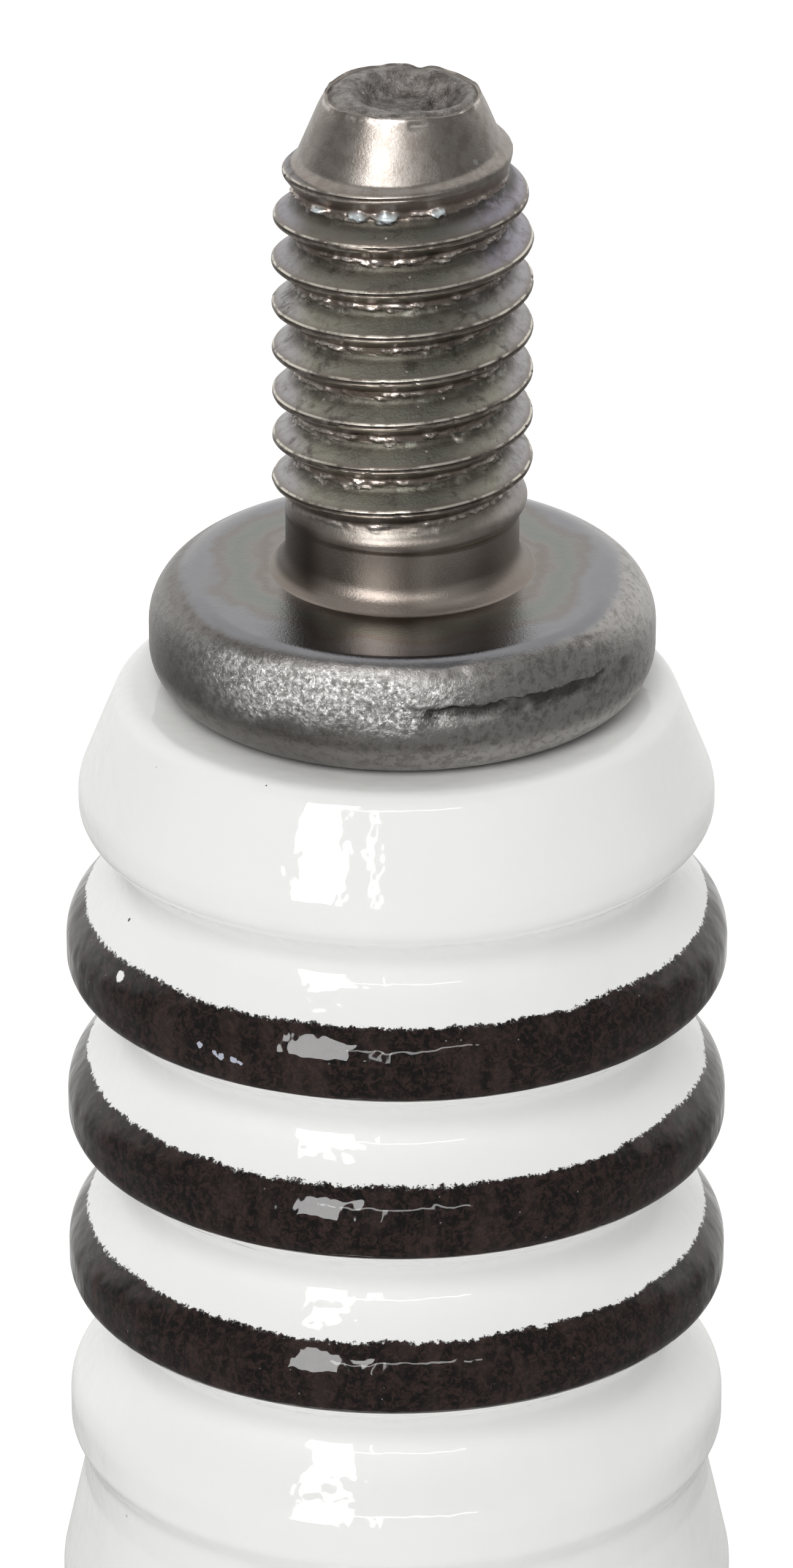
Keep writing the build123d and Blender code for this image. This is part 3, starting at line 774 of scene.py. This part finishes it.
def thread_relief(angles, depth):
    """Radius of the rolled thread, with how bare, and how much a flank, each point is."""
    turn = (CREST_OFFSET - depth) / THREAD_PITCH - angles / TURN
    u = turn - np.round(turn)
    below = u < 0
    crest_depth = depth + u * THREAD_PITCH
    away = np.abs(u) * THREAD_PITCH
    # the first crest is a low lip that juts straight out of the foot of the cone
    upper_width = np.interp(crest_depth, (0.9, 1.08, 1.25, 1.6), (0.12, 0.1, 0.2, 0.275))
    flank_width = np.where(below, 0.25, upper_width)
    slope = (away - 0.035) / flank_width
    fall = np.clip(0.5 * (slope + np.sqrt(slope * slope + 0.009)), 0, 1)
    fall = fall * (1 - 0.12 * smooth(0.8, 1, fall) * smooth(1.15, 1.5, depth))
    crest = np.interp(crest_depth, CREST_GROWTH[0], CREST_GROWTH[1])
    cone = TIP_RADIUS + (CONE_RADIUS - TIP_RADIUS) * depth / CONE_HEIGHT
    root = np.minimum(ROOT_RADIUS, cone)
    fade = smooth(THREAD_BOTTOM + 0.05, THREAD_BOTTOM - 0.55, depth)
    root = root + (NECK_RADIUS - 0.02 - root) * (1 - fade)
    run_out = smooth(THREAD_BOTTOM + 0.3, THREAD_BOTTOM - 0.35, depth)
    crest = NECK_RADIUS + (crest - NECK_RADIUS) * run_out

    worn = value_noise(angles, depth, 34, 0.5, 11)
    nicks = value_noise(angles, depth, 120, 0.3, 12)
    near_crest = smooth(0.12, 0.0, away)
    radius = root + (np.maximum(crest, root) - root) * (1 - fall)
    wear = near_crest * (0.01 * worn - 0.045 * smooth(0.78, 0.98, nicks))
    radius = radius + wear * fade * smooth(0.85, 1.1, crest_depth)

    # torn metal lies in the root, close under the crest above it
    wander = 0.03 * value_noise(angles, depth, 37, 0.7, 13) + 0.03 * value_noise(
        angles, depth, 130, 0.7, 17)
    amount = 0.12 + 0.88 * smooth(-0.4, 0.4, value_noise(angles, depth, 48, 0.35, 14)
                                  + 0.6 * value_noise(angles, depth, 130, 0.1, 15))
    amount = amount * smooth(1.15, 1.3, depth)
    shreds = 0.65 + 0.35 * value_noise(angles, depth, 150, 0.04, 16)
    torn = np.exp(-(((u + 0.42 + wander) / 0.043) ** 2)) * amount * shreds
    # slivers hang from it over the flank below
    sliver = smooth(0.35, 0.7, value_noise(angles, depth, 150, 2.0, 21)) * smooth(
        -0.1, 0.4, value_noise(angles, depth, 30, 0.7, 22))
    sliver = sliver * np.exp(-(((u + 0.35 + wander) / 0.04) ** 2)) * smooth(1.4, 1.6, depth)
    second = np.exp(-(((u - 0.47 + 2 * wander) / 0.03) ** 2)) * smooth(
        0.1, 0.7, value_noise(angles, depth, 60, 0.3, 18)) * shreds * smooth(1.4, 1.6, depth)
    radius = radius + (0.1 * torn + 0.08 * second + 0.035 * sliver) * fade

    # crumbs of swarf caught under the first turn
    crumbs = np.zeros_like(radius)
    for where, size in SWARF:
        side = (angles - math.radians(where) + math.pi) % TURN - math.pi
        up = (depth - (CREST_OFFSET - THREAD_PITCH * (np.round(
            (CREST_OFFSET - 1.5) / THREAD_PITCH - angles / TURN + 0.42) - 0.42 + angles / TURN)))
        close = np.hypot(side * ROOT_RADIUS / (1.5 * size), up / (0.9 * size))
        crumbs = np.maximum(crumbs, smooth(1.15, 0.5, close + 0.35 * value_noise(
            angles, depth, 150, 0.05, 19)))
    radius = radius + 0.1 * crumbs

    bare = np.clip(1.5 * torn + 1.1 * second + 0.8 * sliver, 0, 1) * fade
    edge_wear = np.exp(-((away / 0.03) ** 2)) * smooth(-0.2, 0.7, nicks)
    bare = np.maximum(bare, 0.3 * edge_wear * fade)
    flank = smooth(0.05, 0.35, fall) * ~below * (1 - torn) * fade
    return radius, bare, flank, crumbs


def tip_relief(angles, radius, depth, is_dish, is_cone):
    """Depth and radius of the cropped tip: a torn bowl inside a chipped rim."""
    x, y = radius * np.cos(angles), radius * np.sin(angles)
    out = radius / TIP_RADIUS
    off_centre = np.hypot(x - 0.12, y - 0.02)
    bowl = 0.3 * smooth(0.95, 0.5, off_centre)
    pit = 0.16 * np.exp(-(((x - 0.5) / 0.16) ** 2 + ((y - 0.1) / 0.3) ** 2))
    sweep = np.arctan2(y + 6, x)
    grit = 0.014 * value_noise(sweep, np.hypot(x, y + 6), 180, 0.2, 21)
    fine = 0.008 * value_noise(sweep, np.hypot(x, y + 6), 420, 0.08, 22)
    tear = -0.05 * np.exp(-(((x - 0.2 - 0.4 * y) / 0.08) ** 2)) * smooth(-0.4, 0.2, y)
    dish = bowl + pit + (grit + fine + tear) * smooth(1.0, 0.8, out)
    rim = 0.022 * value_noise(angles, angles * 0, 9, 1.0, 23) + 0.014 * value_noise(
        angles, angles * 0, 40, 1.0, 26)
    notch = 0.06 * np.exp(-(((angles - 1.35) / 0.09) ** 2))
    roll = 0.05 * smooth(0.86, 1.0, out)
    near_rim = np.where(is_dish, smooth(0.7, 1, out), np.where(
        is_cone, smooth(0.3, 0, depth), 0))
    new_depth = np.where(is_dish, dish + roll, depth)
    new_depth = np.maximum(new_depth + near_rim * (0.03 + rim + notch), 0.002)
    chips = smooth(0.45, 0.9, value_noise(angles, depth, 26, 0.12, 24))
    new_radius = radius - np.where(is_cone, 0.03 * chips * near_rim, 0)
    bare = np.where(is_cone, 0.8 * smooth(0.55, 0.95, near_rim) * smooth(
        0.0, 0.5, value_noise(angles, depth, 44, 0.1, 25)), 0)
    return new_radius, new_depth, bare


def flange_relief(angles, radius, depth):
    """Radius change on the rim, with where it is crinkled and where it is mirror-like."""
    bottom = STUD_TOP - INSULATOR_TOP
    edge = FLANGE_RADIUS - FLANGE_TOP_ROUNDING
    side = (angles - math.radians(-90) + math.pi) % TURN - math.pi
    ragged = 0.05 * value_noise(angles, depth, 22, 0.5, 31) + 0.04 * value_noise(
        angles, depth, 90, 0.2, 35)
    line = depth + 0.5 * ragged
    mirror = smooth(FLANGE_DEPTH + 0.13, FLANGE_DEPTH + 0.03, line)
    below_line = smooth(FLANGE_DEPTH + 0.12, FLANGE_DEPTH + 0.35, depth + ragged)
    band = below_line * smooth(FLANGE_DEPTH + 1.25, FLANGE_DEPTH + 0.75, depth + 2 * ragged)
    # the crinkle, and its painted highlight, are strongest in front on the left
    facing = smooth(-1.2, -0.5, side) * smooth(0.4, -0.1, side)
    crinkle = band * (0.12 + 0.88 * facing)
    # to the right of the crinkled patch its edge overhangs a ragged undercut
    right = smooth(-0.1, 0.1, side) * smooth(1.15, 0.85, side)
    overhang = FLANGE_DEPTH + 0.7 + 0.05 * value_noise(
        angles, angles * 0, 34, 1.0, 36) + 0.03 * value_noise(angles, angles * 0, 110, 1.0, 38)
    hollow = smooth(overhang - 0.01, overhang + 0.03, depth) * smooth(
        overhang + 0.36, overhang + 0.04, depth)
    undercut = right * hollow * (0.35 + 0.65 * smooth(
        -0.3, 0.5, value_noise(angles, depth, 40, 0.5, 37)))
    # small dents along the edge of the mirror-like top
    dents = smooth(0.4, 0.8, value_noise(angles, depth, 80, 0.3, 34)) * smooth(
        -0.7, -0.3, side) * smooth(1.1, 0.8, side) * np.exp(
        -(((depth - FLANGE_DEPTH - 0.2) / 0.07) ** 2))
    flakes = value_noise(angles, depth, 170, 0.1, 32) * smooth(
        -0.4, 0.6, value_noise(angles, depth, 60, 0.25, 33))
    on_rim = smooth(edge, edge + 0.3, radius) * smooth(bottom - 0.1, bottom - 0.5, depth)
    change = on_rim * (0.018 * flakes * crinkle - 0.1 * undercut - 0.025 * dents)

    # in front the top stays flat nearly out to the rim
    front = smooth(-1.5, -0.7, side) * smooth(1.5, 0.7, side)
    corner = FLANGE_TOP_ROUNDING - 0.45 * front
    flat_from = NECK_RADIUS + COLLAR + 0.02
    outward = FLANGE_RADIUS - corner
    flat = flat_from + (radius - flat_from) * (outward - flat_from) / (edge - flat_from)
    bent = outward + (radius - edge) * corner / FLANGE_TOP_ROUNDING
    upper = (depth < FLANGE_DEPTH + FLANGE_TOP_ROUNDING) & (radius > flat_from)
    change = change + np.where(upper, np.where(radius < edge, flat, bent) - radius, 0)
    return change, crinkle, mirror


def make_stud():
    """The terminal post, from its cropped tip to the end of its shank in the bore."""
    segments = 300
    radius, depth, tags = stud_grid(segments)
    angles = np.repeat(np.linspace(0, TURN, segments, endpoint=False)[None, :], len(tags), axis=0)
    spread = np.ones_like(radius, bool)
    tip, cone, thread, flange = (
        (tags == tag)[:, None] & spread for tag in ("dish", "cone", "thread", "flange"))

    turned, torn, flank, crumbs = thread_relief(angles, depth)
    # the lip reaches up over the foot of the cone
    threaded = thread | (cone & (depth > 0.6))
    grown = np.where(thread, turned, np.maximum(turned, radius))
    cropped, new_depth, chipped = tip_relief(angles, radius, depth, tip, cone)
    change, crinkle, mirror = flange_relief(angles, radius, depth)
    bare = np.where(thread, torn, chipped)
    flank = np.where(thread, flank, 0)
    radius = np.where(threaded, grown, cropped) + np.where(flange, change, 0)

    piece = lathe("terminal_post", radius, STUD_TOP - new_depth, angles)
    piece.location.x = STUD_OFFSET * MM
    store(piece, "bare", bare)
    store(piece, "flank", flank)
    store(piece, "swarf", np.where(thread, crumbs, 0))
    store(piece, "crinkle", np.where(flange, crinkle, 0))
    store(piece, "flange_top", np.where(flange, mirror, 0))
    piece.data.materials.append(stud_metal())
    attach(piece, "plug")
    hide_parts("terminal_stud")


make_insulator()
make_stud()


# ------------------------------------------------------- finish of the CAD nodes


def coat(node, material):
    """Gives a CAD node this material alone."""
    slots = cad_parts[node].data.materials
    slots.clear()
    slots.append(material)


shell_finish = plated_steel(
    "nickel_shell", (0.5, 0.485, 0.45), (0.62, 0.605, 0.57), 0.2, 0.34, darken_inside_radius=6.25)
gasket_finish = plated_steel(
    "gasket_plate", (0.56, 0.55, 0.52), (0.7, 0.69, 0.66), 0.26, 0.4)
alloy_finish = plated_steel(
    "nickel_alloy", (0.33, 0.315, 0.29), (0.46, 0.44, 0.41), 0.3, 0.44)
packing_finish = plated_steel(
    "packing_wire", (0.3, 0.29, 0.28), (0.4, 0.39, 0.37), 0.3, 0.42)
copper_finish = plated_steel(
    "bare_copper", (0.6, 0.27, 0.16), (0.75, 0.36, 0.22), 0.25, 0.4)
seal_finish = plain_mineral(
    "copper_glass", (0.16, 0.09, 0.06), (0.34, 0.2, 0.14), 0.35, 6, 0.01)
resistor_finish = plain_mineral(
    "carbon_glass", (0.02, 0.02, 0.02), (0.07, 0.068, 0.065), 0.5, 5, 0.01)
talc_finish = plain_mineral(
    "pressed_talc", (0.66, 0.66, 0.63), (0.8, 0.8, 0.77), 0.7, 8, 0.01)

coat("shell", shell_finish)
coat("gasket", gasket_finish)
coat("ground_electrode", alloy_finish)
coat("centre_electrode", alloy_finish)
coat("centre_electrode_core", copper_finish)
coat("upper_glass_seal", seal_finish)
coat("lower_glass_seal", seal_finish)
coat("resistor_element", resistor_finish)
coat("talc_packing", talc_finish)
for ring_node in ("seat_packing_ring", "lower_packing_ring", "upper_packing_ring"):
    coat(ring_node, packing_finish)


# ---------------------------------------------------------------------- stage


def make_floor():
    """A pale plain floor, brighter behind the object, that the glaze does not mirror."""
    mesh = bpy.data.meshes.new("floor")
    half, level = FLOOR_HALF, FLOOR_HEIGHT * MM
    mesh.from_pydata(
        [(-half, -half, level), (half, -half, level), (half, half, level), (-half, half, level)],
        [], [(0, 1, 2, 3)],
    )
    floor = bpy.data.objects.new("floor", mesh)
    bpy.context.scene.collection.objects.link(floor)
    s = Shader("floor_white")
    glow = s.blend(s.step(s.y, 0.0, 90.0), FLOOR_GLOW, 2 * FLOOR_GLOW)
    s.link(glow, s.surface.inputs["Emission Strength"])
    s.finish((FLOOR_WHITE, FLOOR_WHITE, FLOOR_WHITE), 0.9, Specular_IOR_Level=0.1,
             Emission_Color=(1.0, 1.0, 1.0))
    mesh.materials.append(s.material)
    floor.visible_glossy = False


def lamp(name, azimuth, elevation, width, height, radiance):
    """A rectangular softbox that faces the ribs. Azimuth 0 is the camera's side."""
    swing, lift = math.radians(azimuth), math.radians(elevation)
    away = Vector((math.sin(swing) * math.cos(lift), -math.cos(swing) * math.cos(lift),
                   math.sin(lift)))
    data = bpy.data.lights.new(name, "AREA")
    data.shape = "RECTANGLE"
    data.size = width
    data.size_y = height
    data.energy = radiance * math.pi * width * height
    light = bpy.data.objects.new(name, data)
    light.location = Vector(LAMP_TARGET) + away * LAMP_DISTANCE
    light.rotation_euler = away.to_track_quat("Z", "Y").to_euler()
    bpy.context.scene.collection.objects.link(light)
    return light


def make_lights():
    """A window-like softbox in front on the left, inside a white tent open at the front."""
    # the window is seen in the glaze, while the key light alone lights the matt surfaces
    for light in (
        lamp("window_left", -28, 25, 0.2, 0.46, WINDOW),
        lamp("window_right", -7.2, 19, 0.022, 0.3, 0.7 * WINDOW),
        lamp("window_head", 3.5, 31, 0.47, 0.04, 0.7 * WINDOW),
    ):
        light.visible_diffuse = False
    key = lamp("key", -11, 40, 0.3, 0.3, KEY)
    key.visible_glossy = False

    world = bpy.data.worlds.new("tent")
    bpy.context.scene.world = world
    world.use_nodes = True
    tree = world.node_tree
    place = tree.nodes.new("ShaderNodeTexCoord")
    split = tree.nodes.new("ShaderNodeSeparateXYZ")
    tree.links.new(place.outputs["Generated"], split.inputs[0])
    lean = tree.nodes.new("ShaderNodeMath")
    lean.operation = "MULTIPLY_ADD"
    tree.links.new(split.outputs["Z"], lean.inputs[0])
    lean.inputs[1].default_value = TENT_ROOF
    tree.links.new(split.outputs["Y"], lean.inputs[2])
    wall = tree.nodes.new("ShaderNodeMapRange")
    wall.interpolation_type = "SMOOTHSTEP"
    tree.links.new(lean.outputs[0], wall.inputs["Value"])
    wall.inputs["From Min"].default_value = TENT_EDGE[0]
    wall.inputs["From Max"].default_value = TENT_EDGE[1]
    wall.inputs["To Min"].default_value = TENT_OPENING
    wall.inputs["To Max"].default_value = TENT_WALL
    background = tree.nodes["Background"]
    tree.links.new(wall.outputs["Result"], background.inputs["Strength"])
    background.inputs["Color"].default_value = (1.0, 1.0, 0.99, 1)


def make_camera():
    """Looks down on the ribs from in front, as the photographer did."""
    data = bpy.data.cameras.new("camera")
    data.sensor_width = CAMERA_SENSOR
    data.lens = CAMERA_LENS
    data.clip_start = 0.01
    data.clip_end = 20
    camera = bpy.data.objects.new("camera", data)
    camera.location = (0, -CAMERA_BACK * MM, (STUD_TOP + CAMERA_ABOVE_STUD) * MM)
    camera.rotation_euler = (math.radians(90 - CAMERA_TILT), 0, 0)
    bpy.context.scene.collection.objects.link(camera)
    bpy.context.scene.camera = camera


make_floor()
make_lights()
make_camera()
bpy.context.scene.view_settings.view_transform = "Standard"
